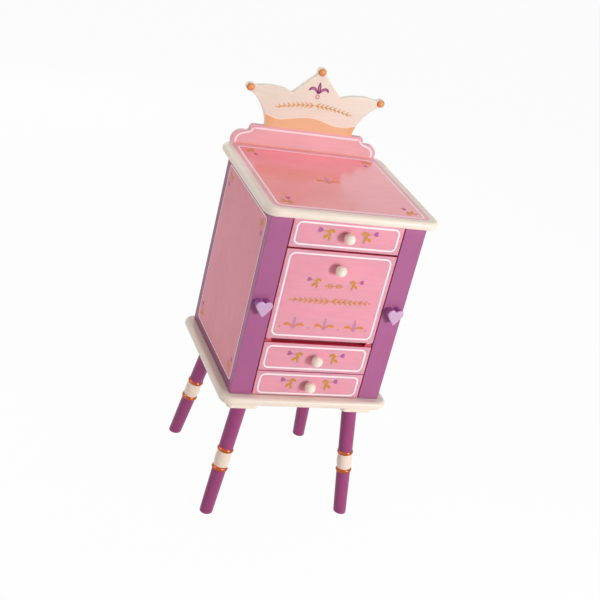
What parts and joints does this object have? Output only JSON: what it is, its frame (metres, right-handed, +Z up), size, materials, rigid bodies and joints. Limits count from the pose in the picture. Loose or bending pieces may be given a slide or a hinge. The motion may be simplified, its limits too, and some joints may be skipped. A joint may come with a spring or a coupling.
{
  "type": "jewelry cabinet",
  "caption": "Standing jewelry cabinet on splayed turned legs, with a crown-shaped back board, drawers, a drop-front door and hinged side doors with necklace hooks.",
  "frame": {"origin": "on the floor, at the middle of the whole object's box seen from above", "axes": "+X to the right seen from the front, the front with its knobs faces -Y, +Z up"},
  "size_m": [0.308, 0.301, 0.7486],
  "materials": {
    "cream_paint": "satin cream paint on wood",
    "pink_paint": "glossy pink paint on wood",
    "purple_paint": "satin purple paint on wood",
    "lilac_paint": "satin lilac paint on wood",
    "ivory_paint": "glossy ivory paint on wood",
    "orange_paint": "glossy orange paint on wood",
    "bare_wood": "clear lacquer",
    "pink_metal": "pink paint",
    "steel": "zinc plated",
    "brass": "polished"
  },
  "bodies": {
    "cabinet": {"base_board": "cream_paint", "top_board": "cream_paint", "leg_blocks": "cream_paint", "leg_bolts": "steel", "back_panel": "pink_paint", "upper_shelf": "pink_paint", "compartment_shelf": "pink_paint", "drawer_runners": "bare_wood", "top_battens": "bare_wood", "carcass_screws": "steel", "gallery_crown": "pink_paint", "gallery_screws": "steel", "crown_buttons": "orange_paint", "magnet_catches": "steel", "hook_rails": "pink_paint", "necklace_hooks": "brass", "hinge_fixed_leaves": "brass", "hinge_pins": "steel", "shelf_hinge_leaves": "pink_metal", "shelf_hinge_pins": "steel", "leg_front_left": "purple_paint", "leg_front_right": "purple_paint", "leg_back_left": "purple_paint", "leg_back_right": "purple_paint", "left_inner_wall": "pink_paint", "right_inner_wall": "pink_paint"},
    "drawer_1": {"drawer_1_front": "pink_paint", "drawer_1_sides": "bare_wood", "drawer_1_back": "bare_wood", "drawer_1_bottom": "bare_wood", "drawer_1_knob": "ivory_paint", "drawer_1_screw": "steel"},
    "drawer_2": {"drawer_2_front": "pink_paint", "drawer_2_sides": "bare_wood", "drawer_2_back": "bare_wood", "drawer_2_bottom": "bare_wood", "drawer_2_knob": "ivory_paint", "drawer_2_screw": "steel"},
    "drawer_3": {"drawer_3_front": "pink_paint", "drawer_3_sides": "bare_wood", "drawer_3_back": "bare_wood", "drawer_3_bottom": "bare_wood", "drawer_3_knob": "ivory_paint", "drawer_3_screw": "steel"},
    "drop_door": {"drop_door": "pink_paint", "drop_door_knob": "ivory_paint", "drop_door_screw": "steel", "drop_door_hinge_leaves": "pink_metal", "drop_door_strike_plate": "steel"},
    "left_door": {"left_stile": "purple_paint", "left_side_panel": "pink_paint", "left_heart_knob": "lilac_paint", "left_strike_plate": "steel", "left_hinge_leaves": "brass"},
    "right_door": {"right_stile": "purple_paint", "right_side_panel": "pink_paint", "right_heart_knob": "lilac_paint", "right_strike_plate": "steel", "right_hinge_leaves": "brass"}
  },
  "joints": [
    {"name": "drawer_1_slide", "type": "slide", "parent": "cabinet", "child": "drawer_1", "axis": [0, -1, 0], "range_m": [0, 0.18]},
    {"name": "drawer_2_slide", "type": "slide", "parent": "cabinet", "child": "drawer_2", "axis": [0, -1, 0], "range_m": [0, 0.18]},
    {"name": "drawer_3_slide", "type": "slide", "parent": "cabinet", "child": "drawer_3", "axis": [0, -1, 0], "range_m": [0, 0.18]},
    {"name": "drop_door_hinge", "type": "hinge", "parent": "cabinet", "child": "drop_door", "pos_m": [0, -0.1268, 0.3552], "axis": [1, 0, 0], "range_deg": [0, 90]},
    {"name": "left_door_hinge", "type": "hinge", "parent": "cabinet", "child": "left_door", "pos_m": [-0.12765, 0.1365, 0.413], "axis": [0, 0, -1], "range_deg": [0, 105]},
    {"name": "right_door_hinge", "type": "hinge", "parent": "cabinet", "child": "right_door", "pos_m": [0.12765, 0.1365, 0.413], "axis": [0, 0, 1], "range_deg": [0, 105]}
  ]
}
